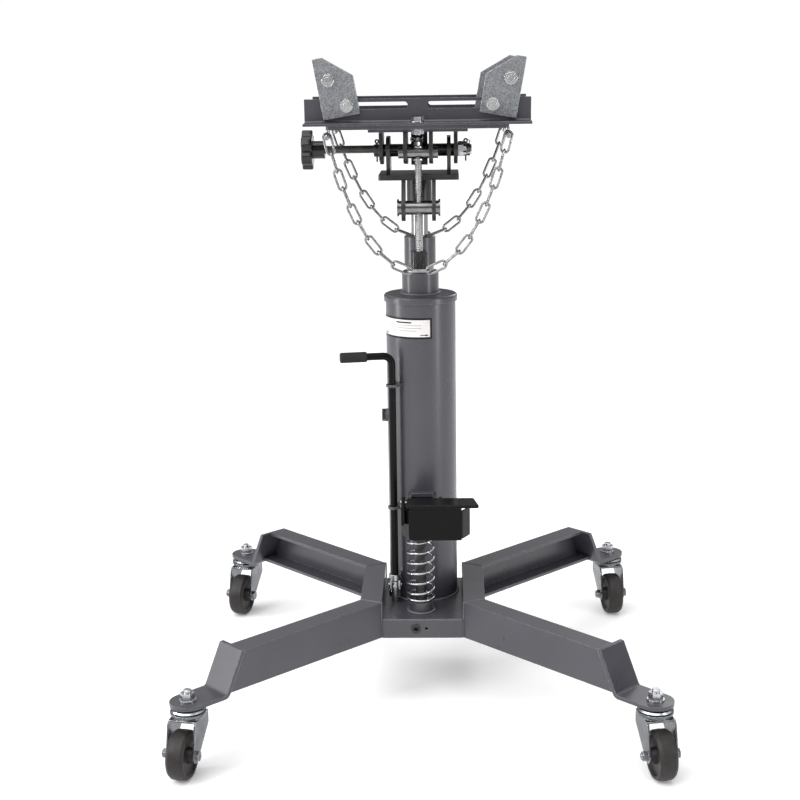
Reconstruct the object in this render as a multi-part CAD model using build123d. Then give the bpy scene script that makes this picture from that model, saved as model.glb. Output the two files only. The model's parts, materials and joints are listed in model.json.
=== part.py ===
from build123d import *
import math
import os

# Telescopic transmission jack, all sizes in mm.
# Origin: on the floor under the column axis. +Z up, front (pedal side) is -Y.

# --- fits -------------------------------------------------------------------
run_gap = 0.05          # radial gap of a turning or sliding shaft
loose_gap = 0.4         # gap between faces that pass each other
thread_gap = 0.02       # radial gap between a plain modelled thread and its hole

# --- casters ----------------------------------------------------------------
wheel_d = 75
wheel_w = 27
wheel_hub_d = 30
wheel_top_gap = 13
fork_w = 44
fork_t = 2.75
race_neck = 3           # height of each step of the swivel, upwards from the fork
race_h = 3.6
race_stack = 16
trail = 30
axle_d = 9.9
axle_end_r = 11
race_d = 54
stem_d = 12
stem_nut_af = 19
stem_nut_h = 10.5
stem_washer_t = 2.5
caster_angles = {"fl": -12, "fr": 12, "rl": -14, "rr": 10}
fork_top_z = wheel_d + wheel_top_gap

# --- legs -------------------------------------------------------------------
channel_h = 60
channel_flange = 35
channel_t = 5
leg_angle = 45
leg_top_length = 277
leg_end_run = 30
plate_w = 55
plate_t = 6
plate_bend_in_r = 5
foot_drop = 2
foot_reach = 55
foot_z = fork_top_z + race_stack
foot_top_z = foot_z + plate_t
leg_bottom_z = foot_top_z + foot_drop
leg_top_z = leg_bottom_z + channel_h
end_slope = leg_end_run / channel_h

# --- reservoir column and base block ----------------------------------------
tube_d = 114.3
tube_wall = 4.5
tube_top_z = 646
cap_d = tube_d + 5.7
cap_h = 11
cap_edge_r = 4
cap_spigot = 8
block_w = tube_d + 18.7
block_h = 32
plug_d = 16
plug_x = -11
plug_bore_d = 5
plug_bore_x = 6
filler_d = 12
filler_boss = 2.4
filler_z = tube_top_z - 194
block_top_z = leg_bottom_z + block_h
block_mid_z = leg_bottom_z + block_h / 2
cap_top_z = tube_top_z + cap_h

# --- lift stages ------------------------------------------------------------
cylinder_od = 68
cylinder_id = 58
stage_d = 45
stage_id = 34
ram_d = 27
piston_h = 30
ring_groove = 4
ring_depth = 3
floor_plate_h = 12
foot_gap = 6
stage_2_foot = 24
gland_d = 60
gland_h = 48
collar_d = 51
collar_rise = 12
collar_h = 46
collar_seat = 8
piston_z = block_top_z + floor_plate_h + foot_gap
ram_foot_z = piston_z + piston_h + foot_gap
gland_top_z = tube_top_z + gland_h
collar_bottom_z = gland_top_z + collar_rise
collar_top_z = collar_bottom_z + collar_h

# --- tilting head -----------------------------------------------------------
cross_t = 8
cross_w = 127
cross_front_y = -52
cross_back_y = 60
socket_d = 40
socket_h = 46
socket_bottom_z = collar_top_z + 46
plate_bottom_z = socket_bottom_z + socket_h
cross_top_z = plate_bottom_z + cross_t
pivot_z = plate_bottom_z + 44
pivot_d = 20
pivot_x0 = -72
pivot_x1 = 82
pivot_eye_r = 22
upright_x = 48
lug_t = 6
lock_y = -30
lock_z = pivot_z + 4
lock_d = 13
lock_eye_r = 18
tilt_y = -62
tilt_d = 12
tilt_slack = 1.6
tilt_limit = 12
trunnion_z = plate_bottom_z - 42
trunnion_d = 22
trunnion_half = 31
trunnion_head_d = 27
trunnion_head_t = 3
trunnion_eye_r = 21
lower_lug_x = 24
tilt_bottom_z = collar_bottom_z
tilt_flange_d = 20
tilt_seat = 7.5
tilt_nut_af = 14
tilt_knob_d = 28
tilt_knob_h = 28
tilt_knob_flutes = 12
cotter_d = 2.6

# --- saddle -----------------------------------------------------------------
inner_lug_x = 20
hub_half = pivot_d / 2 + 2
outer_lug_x = 59
upper_trunnion_d = 18
upper_trunnion_half = 31
sub_plate_w = 155
sub_plate_y = 75
sub_plate_t = 6
lug_top_z = pivot_z + 32
saddle_z = lug_top_z + sub_plate_t
saddle_w = 280
saddle_y = 112
saddle_t = 6
rail_z = saddle_z + saddle_t
rail_length = 350
rail_h = 40
rail_t = 4
rail_root_r = 4
rail_web_y = 75
rail_bolt_d = 10
rail_bolt_af = 17
rail_bolt_y = rail_web_y + rail_h / 2
slot_z = rail_z + 29.5
slot_inner_x = 15
slot_outer_x = 131

# --- bracket supports -------------------------------------------------------
bracket_w = 57
bracket_h = 93
bracket_inner_h = 58.5
bracket_top = 15
bracket_t = 6
bracket_lean = 10
bracket_bolt_d = 10
bracket_bolt_af = 16
bracket_bolt_in = 18
bracket_bolt_up = 15
bracket_top_bolt_out = 18.5
bracket_top_bolt_up = 58
bracket_washer_t = 1.5
bracket_rest_x = {"fl": -109, "fr": 116, "rl": -122, "rr": 111}
slot_w = bracket_bolt_d + 0.5

# --- hand screw at the left -------------------------------------------------
lock_x0 = -184
lock_x1 = 84
lock_inset = 5
lock_nut_af = 19
lock_nut_h = 13
lock_knob_d = 62
lock_knob_t = 17
lock_knob_lobes = 6
lock_hub_d = 28
lock_hub_l = 19

# --- chains -----------------------------------------------------------------
chain_y = 98
chain_wire = 4
chain_pitch = 28.5
chain_inner_w = 8
chain_gap = 0.4
chain_links = {"front": 19, "rear": 17}
hook_x = saddle_w / 2 - 1
hook_z = saddle_z - 12
hook_d = 7
hook_in = 16
hook_out = 12

# --- pump and pedal ---------------------------------------------------------
pump_x = -3
pump_y = -(tube_d / 2 + 38.85)
barrel_d = 41
barrel_h = 18
plunger_d = 18
plunger_dip = 6
pump_well = 13
spring_od = 46
spring_wire = 3.8
spring_turns = 9
spring_h = 134
cap_plate_t = 5
pedal_pin_y = -(tube_d / 2 + 16.85)
pedal_pin_d = 12
pusher_d = 12
ear_x = 21
ear_t = 6
arm_x = 30
arm_t = 5
tread_x0 = -24
tread_x1 = 92
tread_t = 5
tread_depth = 42
apron_x0 = -19
apron_x1 = 64
apron_h = 54
apron_t = 5
wing_w = 26
wing_t = 3
wing_angle = 62
barrel_top_z = block_top_z + barrel_h
plunger_foot_z = block_top_z - plunger_dip
spring_top_z = barrel_top_z + spring_h
pedal_pin_z = spring_top_z + 24
tread_z = pedal_pin_z + 14
tread_y0 = pump_y - 52
apron_y = tread_y0 + 2
block_front_y = pump_y - 44
block_back_y = tube_d / 2 + 3.85
legs_mid_y = (block_front_y + block_back_y) / 2 - 0.5
legs_half_y = (block_back_y - block_front_y) / 2 - 2.5

# --- release rod ------------------------------------------------------------
rod_bearing = math.radians(41.035)
rod_off = 14.44
rod_d = 12
rod_bend_r = 14
rod_arm = 84
rod_arm_turn = 10
rod_arm_z = tube_top_z - 83
grip_d = 17
grip_l = 44
grip_hold = 30
joint_h = 38
joint_w = 20
joint_slot = 11
joint_pin_d = 6
spindle_d = 10
spindle_dip = 15
guide_t = 4
guide_z = (pedal_pin_z - 14, tube_top_z - 134)
guide_slack = 0.5
rod_x = -(tube_d / 2 + rod_off) * math.sin(rod_bearing)
rod_y = -(tube_d / 2 + rod_off) * math.cos(rod_bearing)
joint_z0 = block_top_z + 10
joint_z1 = joint_z0 + joint_h


def write(node, *solids):
    """One STEP file for a node, made of one or more separate solids."""
    shape = solids[0] if len(solids) == 1 else Compound(children=list(solids))
    export_step(shape, f"parts/{node}.step")


def box(x0, x1, y0, y1, z0, z1):
    return Pos((x0 + x1) / 2, (y0 + y1) / 2, (z0 + z1) / 2) * Box(x1 - x0, y1 - y0, z1 - z0)


def rod_z(d, z0, z1, x=0, y=0):
    return Pos(x, y, (z0 + z1) / 2) * Cylinder(d / 2, z1 - z0)


def rod_along_x(d, x0, x1, y, z):
    return Pos((x0 + x1) / 2, y, z) * Rot(0, 90, 0) * Cylinder(d / 2, x1 - x0)


def rod_along_y(d, y0, y1, x, z):
    return Pos(x, (y0 + y1) / 2, z) * Rot(90, 0, 0) * Cylinder(d / 2, y1 - y0)


def hex_z(across_flats, z0, z1, x=0, y=0):
    outline = RegularPolygon(across_flats / 2, 6, major_radius=False)
    return Pos(x, y, z0) * extrude(outline, z1 - z0)


def hex_along_y(across_flats, y0, y1, x, z):
    return Pos(x, y1, z) * Rot(90, 0, 0) * extrude(
        RegularPolygon(across_flats / 2, 6, major_radius=False), y1 - y0)


def hex_along_x(across_flats, x0, x1, y, z):
    return Pos(x0, y, z) * Rot(0, 90, 0) * extrude(
        RegularPolygon(across_flats / 2, 6, major_radius=False), x1 - x0)


def plan(points, z0, z1):
    """Prism with a plan outline in X and Y."""
    return Pos(0, 0, z0) * extrude(make_face(Polyline(*points, close=True)), z1 - z0)


def side(outline, x0, x1):
    """Prism with an outline drawn in Y and Z, standing from x0 to x1."""
    return Pos(x0, 0, 0) * extrude(Plane.YZ * outline, x1 - x0)


def front(outline, y0, y1):
    """Prism with an outline drawn in X and Z, running from y0 to y1."""
    return Pos(0, y1, 0) * extrude(Plane.XZ * outline, y1 - y0)


def hull_outline(*circles):
    """Outline around circles given as (a, b, radius)."""
    return make_hull([(Pos(a, b) * Circle(r)).edge() for a, b, r in circles])


def mirror_x(shape):
    return mirror(shape, about=Plane.YZ)


def mirror_legs(shape):
    return mirror(shape, about=Plane.XZ.offset(-legs_mid_y))


# ---------------------------------------------------------------------------
# base: block, leg frame, column
# ---------------------------------------------------------------------------
def channel(outer, inner):
    return plan(outer, leg_bottom_z, leg_top_z) - plan(
        inner, leg_bottom_z + channel_t, leg_top_z - channel_t)


corner_x = block_w / 2
corner_y = legs_mid_y - legs_half_y
mitre = math.tan(math.radians(leg_angle / 2))
leg_dx = math.cos(math.radians(leg_angle))
leg_dy = -math.sin(math.radians(leg_angle))


def on_leg(along, across):
    """Plan point of the front right leg, from its outer web corner."""
    return (corner_x + along * leg_dx - across * leg_dy,
            corner_y + along * leg_dy + across * leg_dx)


def middle_channel():
    def outline(x0, x1):
        y0 = corner_y + (x0 - corner_x) * mitre
        y1 = corner_y + (x1 - corner_x) * mitre
        return [(x0, y0), (x1, y1), (x1, 2 * legs_mid_y - y1), (x0, 2 * legs_mid_y - y0)]
    free_x = corner_x + channel_flange
    return channel(outline(corner_x, free_x), outline(corner_x + channel_t, free_x + 5))


def leg_channel():
    long = leg_top_length + leg_end_run

    def outline(v0, v1):
        return [on_leg(v0 * mitre, v0), on_leg(long, v0), on_leg(long, v1), on_leg(v1 * mitre, v1)]
    bar = channel(outline(0, channel_flange), outline(channel_t, channel_flange + 5))
    return bar - on_leg_frame(end_wedge())


def on_leg_frame(shape):
    return Pos(corner_x, corner_y, 0) * Rot(0, 0, -leg_angle) * shape


def end_wedge():
    """The part of the leg beyond its sloping end."""
    z0, z1 = leg_bottom_z - 1, leg_top_z + 1
    u0 = leg_top_length + (leg_top_z - z0) * end_slope
    u1 = leg_top_length + (leg_top_z - z1) * end_slope
    outline = Polyline((u0, z0), (u0 + 60, z0), (u0 + 60, z1), (u1, z1), close=True)
    return front(make_face(outline), -10, channel_flange + 10)


def end_plate():
    shift = plate_t * math.sqrt(1 + end_slope**2)
    u_top = leg_top_length
    u_bend = u_top + (leg_top_z - foot_top_z) * end_slope + shift
    u_low = u_top + (leg_top_z - foot_z) * end_slope
    u_end = bolt_along + plate_w / 2
    outline = make_face(Polyline(
        (u_top, leg_top_z), (u_top + shift, leg_top_z), (u_bend, foot_top_z),
        (u_end, foot_top_z), (u_end, foot_z), (u_low, foot_z), close=True))
    corners = outline.vertices()
    inner = corners.sort_by_distance((u_bend, foot_top_z, 0))[0]
    outer = corners.sort_by_distance((u_low, foot_z, 0))[0]
    outline = fillet(inner, plate_bend_in_r)
    outer = outline.vertices().sort_by_distance((u_low, foot_z, 0))[0]
    outline = fillet(outer, plate_bend_in_r + plate_t)
    plate = front(outline, 0, plate_w)
    tip = box(bolt_along, u_end + 1, -1, plate_w + 1, foot_z - 1, foot_top_z + 1)
    tip = tip - rod_z(plate_w, foot_z - 2, foot_top_z + 2, bolt_along, plate_w / 2)
    hole = rod_z(stem_d + 1, foot_z - 1, foot_top_z + 1, bolt_along, plate_w / 2)
    return on_leg_frame(plate - tip - hole)


bolt_along = leg_top_length + (leg_top_z - foot_z) * end_slope + foot_reach
bolt_x, bolt_y = on_leg(bolt_along, plate_w / 2)
bolt_at = {"fr": (bolt_x, bolt_y), "fl": (-bolt_x, bolt_y),
           "rr": (bolt_x, 2 * legs_mid_y - bolt_y), "rl": (-bolt_x, 2 * legs_mid_y - bolt_y)}


def base_block():
    block = box(-block_w / 2, block_w / 2, block_front_y, block_back_y, leg_bottom_z, block_top_z)
    block = chamfer(block.edges().filter_by(Axis.Z), 2)
    block = chamfer(block.edges().group_by(Axis.Z)[-1], 1.5)
    block -= rod_along_y(plug_d + 2 * thread_gap, block_front_y - 1, block_front_y + 14, plug_x, block_mid_z)
    block -= rod_along_y(plug_bore_d, block_front_y - 1, block_front_y + 20, plug_bore_x, block_mid_z)
    block -= rod_z(spindle_d + 2 * run_gap, block_top_z - spindle_dip - 3, block_top_z + 1, rod_x, rod_y)
    return block - rod_z(plunger_d + 2 * run_gap, plunger_foot_z - pump_well, block_top_z + 1, pump_x, pump_y)


def oil_plugs():
    plug = rod_along_y(plug_d, block_front_y - 1.2, block_front_y + 12, plug_x, block_mid_z)
    plug -= hex_along_y(plug_d / 2, block_front_y - 2, block_front_y + 5, plug_x, block_mid_z)
    wall_x = -tube_d / 2
    filler = rod_along_x(filler_d, wall_x - 9, wall_x + 6, 0, filler_z)
    filler += hex_along_x(filler_d + 7, wall_x - 9, wall_x - filler_boss, 0, filler_z)
    return plug, filler


def reservoir_tube():
    tube = rod_z(tube_d, block_top_z, tube_top_z) - rod_z(
        tube_d - 2 * tube_wall, block_top_z - 1, tube_top_z + 1)
    boss = rod_along_x(filler_d + 10, -tube_d / 2 - filler_boss, -tube_d / 2 + 5, 0, filler_z)
    hole = rod_along_x(filler_d + 2 * thread_gap, -tube_d, -tube_d / 2 + 10, 0, filler_z)
    return tube + (boss - rod_z(tube_d - 2 * tube_wall, filler_z - 30, filler_z + 30)) - hole


def reservoir_cap():
    cap = rod_z(cap_d, tube_top_z, cap_top_z)
    cap = fillet(cap.edges().group_by(Axis.Z)[-1], cap_edge_r)
    cap += rod_z(tube_d - 2 * tube_wall, tube_top_z - cap_spigot, tube_top_z)
    return cap - rod_z(gland_d, tube_top_z - 20, cap_top_z + 1)


def cylinder_tube():
    return rod_z(cylinder_od, block_top_z, tube_top_z - cap_spigot) - rod_z(
        cylinder_id, block_top_z + floor_plate_h, tube_top_z)


def gland_neck():
    neck = rod_z(gland_d, tube_top_z - cap_spigot, gland_top_z)
    neck = chamfer(neck.edges().group_by(Axis.Z)[-1], 2)
    neck += rod_z(cylinder_id, tube_top_z - 34, tube_top_z - cap_spigot)
    return neck - rod_z(stage_d + 2 * run_gap, tube_top_z - 40, gland_top_z + 1)


# ---------------------------------------------------------------------------
# casters
# ---------------------------------------------------------------------------
def upper_race():
    low = fork_top_z + race_neck + race_h + loose_gap
    eye, out = stem_d / 2 + 0.5, race_d / 2
    profile = make_face(Polyline(
        (eye, low), (out - 2, low), (out, low + 2.5), (out - 2, low + 5),
        (out - 7, low + 6), (out - 7, foot_z), (eye, foot_z), close=True))
    return revolve(Plane.XZ * profile, Axis.Z)


def stem_bolt():
    nut_top = foot_top_z + stem_washer_t + stem_nut_h
    bolt = rod_z(stem_d, fork_top_z, nut_top + 5)
    bolt += rod_z(17, fork_top_z - 7, fork_top_z - fork_t - 0.1)
    bolt += rod_z(stem_d, fork_top_z - 4, fork_top_z + 1)
    return chamfer(bolt.edges().group_by(Axis.Z)[-1], 1)


def stem_nut():
    seat = foot_top_z + stem_washer_t
    washer = rod_z(stem_nut_af + 7, foot_top_z, seat)
    nut = hex_z(stem_nut_af, seat, seat + stem_nut_h)
    return washer + nut - rod_z(stem_d, foot_top_z - 1, foot_top_z + 20)


def caster_fork():
    cheek = hull_outline((20, fork_top_z - 6, 4), (-26, fork_top_z - 6, 4),
                         (20, fork_top_z - 18, 4), (-trail, wheel_d / 2, axle_end_r))
    cheeks = side(cheek, -fork_w / 2, -fork_w / 2 + fork_t)
    cheeks = cheeks + side(cheek, fork_w / 2 - fork_t, fork_w / 2)
    top = box(-fork_w / 2, fork_w / 2, -26, 24, fork_top_z - fork_t, fork_top_z)
    seat = fork_top_z + race_neck
    body = cheeks + top + rod_z(race_d - 4, fork_top_z, seat) + rod_z(race_d, seat, seat + race_h)
    body -= rod_along_x(axle_d + 2 * run_gap, -fork_w, fork_w, -trail, wheel_d / 2)
    return body - rod_z(stem_d + 1, fork_top_z - 10, foot_z)


def caster_axle():
    half = fork_w / 2
    axle = rod_along_x(axle_d, -half - 9, half + 1, -trail, wheel_d / 2)
    head = hex_along_x(14, half, half + 5, -trail, wheel_d / 2)
    nut = hex_along_x(14, -half - 7, -half, -trail, wheel_d / 2)
    return axle + head + nut


def caster_wheel():
    r, w, hub, eye = wheel_d / 2, wheel_w / 2, wheel_hub_d / 2, axle_d / 2 + run_gap
    hub_w = fork_w / 2 - fork_t - loose_gap
    profile = make_face(Polyline(
        (eye, -hub_w), (hub / 2 + 3, -hub_w), (hub / 2 + 5, -w + 4), (r - 9, -w + 4), (r - 7, -w),
        (r - 3.5, -w), (r - 0.6, -w + 4), (r, 0), (r - 0.6, w - 4), (r - 3.5, w),
        (r - 7, w), (r - 9, w - 4), (hub / 2 + 5, w - 4), (hub / 2 + 3, hub_w), (eye, hub_w),
        close=True))
    wheel = revolve(Plane.XY * profile, Axis.Y)
    return Pos(0, -trail, r) * Rot(0, 0, 90) * wheel


def place_caster(key, shape):
    x, y = bolt_at[key]
    return Pos(x, y, 0) * Rot(0, 0, caster_angles[key]) * shape


# ---------------------------------------------------------------------------
# lift stages
# ---------------------------------------------------------------------------
def stage_1_tube():
    return rod_z(stage_d, piston_z + piston_h, collar_bottom_z + collar_seat) - rod_z(
        stage_id, piston_z, collar_top_z)


def stage_1_piston():
    piston = rod_z(cylinder_id - 2 * run_gap, piston_z, piston_z + piston_h)
    for z in (piston_z + 8, piston_z + 19):
        piston -= rod_z(cylinder_id + 1, z, z + ring_groove) - rod_z(
            cylinder_id - 2 * ring_depth, z - 1, z + ring_groove + 1)
    return piston


def stage_1_collar():
    collar = rod_z(collar_d, collar_bottom_z, collar_top_z)
    collar = chamfer(collar.edges().group_by(Axis.Z)[-1], 2.5)
    collar -= rod_z(stage_d, collar_bottom_z - 1, collar_bottom_z + collar_seat)
    return collar - rod_z(ram_d + 2 * run_gap, collar_bottom_z, collar_top_z + 1)


def lift_ram():
    return rod_z(ram_d, ram_foot_z + stage_2_foot, plate_bottom_z)


def ram_piston():
    piston = rod_z(stage_id - 2 * run_gap, ram_foot_z, ram_foot_z + stage_2_foot)
    groove_z = ram_foot_z + 9
    return piston - (rod_z(stage_id + 1, groove_z, groove_z + ring_groove)
                     - rod_z(stage_id - 2 * ring_depth, groove_z - 1, groove_z + ring_groove + 1))


# ---------------------------------------------------------------------------
# head on the ram
# ---------------------------------------------------------------------------
def head_socket():
    return rod_z(socket_d, socket_bottom_z, plate_bottom_z) - rod_z(
        ram_d + 2 * run_gap, socket_bottom_z - 1, plate_bottom_z + 1)


def lock_slot():
    """Arc slot that lets the clamp screw travel as the saddle tilts."""
    radius = math.hypot(lock_y, lock_z - pivot_z)
    middle = math.degrees(math.atan2(lock_z - pivot_z, lock_y))
    arc = CenterArc((0, 0), radius, middle - tilt_limit - 2, 2 * tilt_limit + 4)
    return Sketch() + Pos(0, pivot_z) * SlotArc(arc, lock_d + 2)


def head_plates():
    cross = box(-cross_w / 2, cross_w / 2, cross_front_y, cross_back_y, plate_bottom_z, cross_top_z)
    cross = chamfer(cross.edges().filter_by(Axis.Z), 3)
    outline = hull_outline((0, pivot_z, pivot_eye_r + 1), (lock_y, lock_z, lock_eye_r),
                           (lock_y - 6, cross_top_z + 1, 1), (pivot_eye_r + 2, cross_top_z + 1, 1))
    uprights = []
    for x in (-upright_x, upright_x):
        ear = side(outline - lock_slot(), x - lug_t / 2, x + lug_t / 2)
        ear -= rod_along_x(pivot_d + 2 * run_gap, x - 9, x + 9, 0, pivot_z)
        uprights.append(ear)
    hanger = hull_outline((tilt_y, trunnion_z, trunnion_eye_r), (tilt_y + 5, plate_bottom_z - 3, 3),
                          (cross_front_y + 25, plate_bottom_z - 3, 3))
    lugs = []
    for x in (-lower_lug_x, lower_lug_x):
        lug = side(hanger, x - lug_t / 2, x + lug_t / 2)
        lug -= rod_along_x(trunnion_d + 2 * run_gap, x - 9, x + 9, tilt_y, trunnion_z)
        lugs.append(lug)
    return cross, *uprights, *lugs


def lower_trunnion():
    pin = rod_along_x(trunnion_d, -trunnion_half, trunnion_half, tilt_y, trunnion_z)
    for x in (-trunnion_half - trunnion_head_t, trunnion_half):
        pin += rod_along_x(trunnion_head_d, x, x + trunnion_head_t, tilt_y, trunnion_z)
    return pin - rod_z(tilt_d + 2 * tilt_slack, trunnion_z - 20, trunnion_z + 20, 0, tilt_y)


def cotter(x, y, z, d):
    """Split pin down through a shaft of diameter d."""
    pin = rod_z(cotter_d, z - d / 2 - 8, z + d / 2 + 1, x, y)
    return pin + Pos(x, y, z + d / 2 + 1.6 + cotter_d) * Rot(90, 0, 0) * Torus(cotter_d, cotter_d / 2)


def pivot_shaft():
    shaft = rod_along_x(pivot_d, pivot_x0, pivot_x1, 0, pivot_z)
    shaft = chamfer(shaft.edges().filter_by(GeomType.CIRCLE), 1)
    pins = []
    for x in (pivot_x0 + 5, pivot_x1 - 7):
        pins.append(cotter(x, 0, pivot_z, pivot_d))
        shaft -= rod_z(cotter_d, pivot_z - pivot_d, pivot_z + pivot_d, x, 0)
    return shaft, *pins


# ---------------------------------------------------------------------------
# saddle
# ---------------------------------------------------------------------------
def saddle_plates():
    sub = box(-sub_plate_w / 2, sub_plate_w / 2, -sub_plate_y, sub_plate_y, lug_top_z, saddle_z)
    base = box(-saddle_w / 2, saddle_w / 2, -saddle_y, saddle_y, saddle_z, rail_z)
    base = chamfer(base.edges().filter_by(Axis.Z), 4)
    for y in (-rail_bolt_y, rail_bolt_y):
        base -= rod_z(rail_bolt_d + 2 * thread_gap, saddle_z - 9, rail_z + 1, 0, y)
    return sub, base


def saddle_lugs():
    top = lug_top_z - 1
    outer = hull_outline((0, pivot_z, pivot_eye_r), (lock_y, lock_z, lock_eye_r),
                         (lock_y - 16, top, 1), (pivot_eye_r, top, 1))
    inner = hull_outline((0, pivot_z, pivot_eye_r), (tilt_y, pivot_z, upper_trunnion_d - 2),
                         (tilt_y - 15, top, 1), (pivot_eye_r, top, 1))
    clear = lock_d + 2
    lugs = []
    for x, outline, hole in ((-outer_lug_x, outer, lock_d + 2 * thread_gap), (outer_lug_x, outer, clear),
                             (-inner_lug_x, inner, clear), (inner_lug_x, inner, clear)):
        lug = side(outline, x - lug_t / 2, x + lug_t / 2)
        lug -= rod_along_x(pivot_d + 2 * run_gap, x - 9, x + 9, 0, pivot_z)
        lug -= rod_along_x(hole, x - 9, x + 9, lock_y, lock_z)
        if abs(x) == inner_lug_x:
            lug -= rod_along_x(upper_trunnion_d + 2 * run_gap, x - 9, x + 9, tilt_y, pivot_z)
        lugs.append(lug)
    hub = box(-hub_half, hub_half + 2, -hub_half - 1, hub_half + 1, pivot_z - pivot_eye_r - 0.5, lug_top_z)
    hub -= rod_along_x(pivot_d + 2 * run_gap, -inner_lug_x, inner_lug_x, 0, pivot_z)
    return *lugs, hub


def saddle_rail(sign):
    y_web = rail_web_y + rail_t
    web = box(-rail_length / 2, rail_length / 2, rail_web_y, y_web, rail_z, rail_z + rail_h)
    flange = box(-rail_length / 2, rail_length / 2, rail_web_y, rail_web_y + rail_h, rail_z, rail_z + rail_t)
    rail = web + flange
    inside = rail.edges().filter_by(Axis.X).sort_by_distance((0, y_web, rail_z + rail_t))[0]
    rail = fillet(inside, rail_root_r)
    length = slot_outer_x - slot_inner_x
    for x in (-1, 1):
        middle = x * (slot_inner_x + slot_outer_x) / 2
        slot = Pos(middle, slot_z) * SlotOverall(length, slot_w)
        rail -= front(slot, rail_web_y - 5, y_web + 5)
    rail -= rod_z(rail_bolt_d + 1, rail_z - 1, rail_z + rail_t + 1, 0, rail_bolt_y)
    return rail if sign > 0 else mirror(rail, about=Plane.XZ)


def rail_bolt(y):
    top = rail_z + rail_t
    bolt = hex_z(rail_bolt_af, top + 1.5, top + 8, 0, y) + rod_z(rail_bolt_af + 4, top, top + 1.5, 0, y)
    bolt += rod_z(rail_bolt_d, saddle_z - 9, top + 1, 0, y)
    return bolt + hex_z(rail_bolt_af, saddle_z - 8, saddle_z, 0, y)


def chain_hook(sign_x, sign_y):
    x = sign_x * hook_x
    inner = chain_y - hook_in
    stem = rod_z(hook_d, hook_z, saddle_z, x, inner)
    arm = rod_along_y(hook_d, inner, chain_y + hook_out, x, hook_z)
    hook = stem + arm + Pos(x, inner, hook_z) * Sphere(hook_d / 2)
    return hook if sign_y > 0 else mirror(hook, about=Plane.XZ)


# ---------------------------------------------------------------------------
# fore and aft tilt screw
# ---------------------------------------------------------------------------
def upper_trunnion():
    pin = rod_along_x(upper_trunnion_d, -upper_trunnion_half, upper_trunnion_half, tilt_y, pivot_z)
    half = tilt_flange_d / 2 + 3
    flat = box(-half, half, tilt_y - half, tilt_y + half, pivot_z + tilt_seat, pivot_z + upper_trunnion_d)
    return pin - flat - rod_z(tilt_d + 2 * run_gap, pivot_z - 20, pivot_z + 20, 0, tilt_y)


def tilt_screw():
    seat = pivot_z + tilt_seat
    pin_z = seat + 13
    collar_z = pivot_z - upper_trunnion_d / 2 - 3
    screw = rod_z(tilt_d, tilt_bottom_z + 3, pin_z + 2.5, 0, tilt_y)
    screw += rod_z(tilt_flange_d, seat + 0.1, seat + 2.6, 0, tilt_y)
    screw += rod_z(tilt_flange_d, collar_z, collar_z + 2.8, 0, tilt_y)
    screw += hex_z(tilt_nut_af, seat + 2.6, seat + 10, 0, tilt_y)
    pin = rod_along_x(cotter_d, -9, 9, tilt_y, pin_z)
    return screw - rod_along_x(cotter_d, -tilt_d, tilt_d, tilt_y, pin_z), pin


def tilt_knob():
    knob = rod_z(tilt_knob_d, tilt_bottom_z, tilt_bottom_z + tilt_knob_h, 0, tilt_y)
    knob = chamfer(knob.edges().filter_by(GeomType.CIRCLE), 1.5)
    for i in range(tilt_knob_flutes):
        a = 2 * math.pi * i / tilt_knob_flutes
        r = tilt_knob_d / 2 + 0.8
        knob -= rod_z(4, tilt_bottom_z - 1, tilt_bottom_z + tilt_knob_h + 1,
                      r * math.cos(a), tilt_y + r * math.sin(a))
    return knob - rod_z(tilt_d, tilt_bottom_z + 3, tilt_bottom_z + tilt_knob_h + 1, 0, tilt_y)


# ---------------------------------------------------------------------------
# tilt clamp screw with the lobed knob
# ---------------------------------------------------------------------------
def lock_screw():
    screw = rod_along_x(lock_d, lock_x0 + lock_inset, lock_x1, lock_y, lock_z)
    screw = chamfer(screw.edges().filter_by(GeomType.CIRCLE), 1)
    pin = cotter(lock_x1 - 5, lock_y, lock_z, lock_d)
    screw -= rod_z(cotter_d, lock_z - lock_d, lock_z + lock_d, lock_x1 - 5, lock_y)
    return screw, pin


def lock_knob():
    lobes = Circle(lock_knob_d / 2)
    for i in range(lock_knob_lobes):
        a = 2 * math.pi * (i + 0.5) / lock_knob_lobes
        r = lock_knob_d / 2 + 4
        lobes -= Pos(r * math.cos(a), r * math.sin(a)) * Circle(9)
    lobes = fillet(lobes.vertices(), 4)
    head = extrude(lobes, lock_knob_t)
    head = fillet(head.edges().group_by(Axis.Z)[-1] + head.edges().group_by(Axis.Z)[0], 2.5)
    knob = Pos(lock_x0, lock_y, lock_z) * Rot(0, 90, 0) * head
    hub_x = lock_x0 + lock_knob_t
    knob += rod_along_x(lock_hub_d, hub_x, hub_x + lock_hub_l, lock_y, lock_z)
    return knob - rod_along_x(lock_d, lock_x0 + lock_inset, lock_x0 + 90, lock_y, lock_z)


def lock_nut():
    x0 = outer_lug_x + lug_t / 2 + loose_gap
    nut = hex_along_x(lock_nut_af, x0, x0 + lock_nut_h, lock_y, lock_z)
    for i in range(3):
        turn = Pos(x0 + lock_nut_h - 2, lock_y, lock_z) * Rot(60 * i, 0, 0)
        nut -= turn * Box(5, cotter_d + 0.8, 2 * lock_nut_af)
    return nut - rod_along_x(lock_d, x0 - 1, x0 + lock_nut_h + 1, lock_y, lock_z)


# ---------------------------------------------------------------------------
# bracket supports
# ---------------------------------------------------------------------------
def bracket_point(key, across, up):
    """Point of a bracket plate from its lower bolt: across is towards the outer side."""
    lean = math.radians(bracket_lean)
    sign = -1 if key[1] == "l" else 1
    x = across * math.cos(lean) + up * math.sin(lean)
    z = up * math.cos(lean) - across * math.sin(lean)
    return bracket_rest_x[key] + sign * x, slot_z + z


def bracket_bolt_points(key):
    low = bracket_point(key, 0, 0)
    high = bracket_point(key, bracket_w - bracket_bolt_in - bracket_top_bolt_out,
                         bracket_top_bolt_up - bracket_bolt_up)
    return low, high


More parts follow.
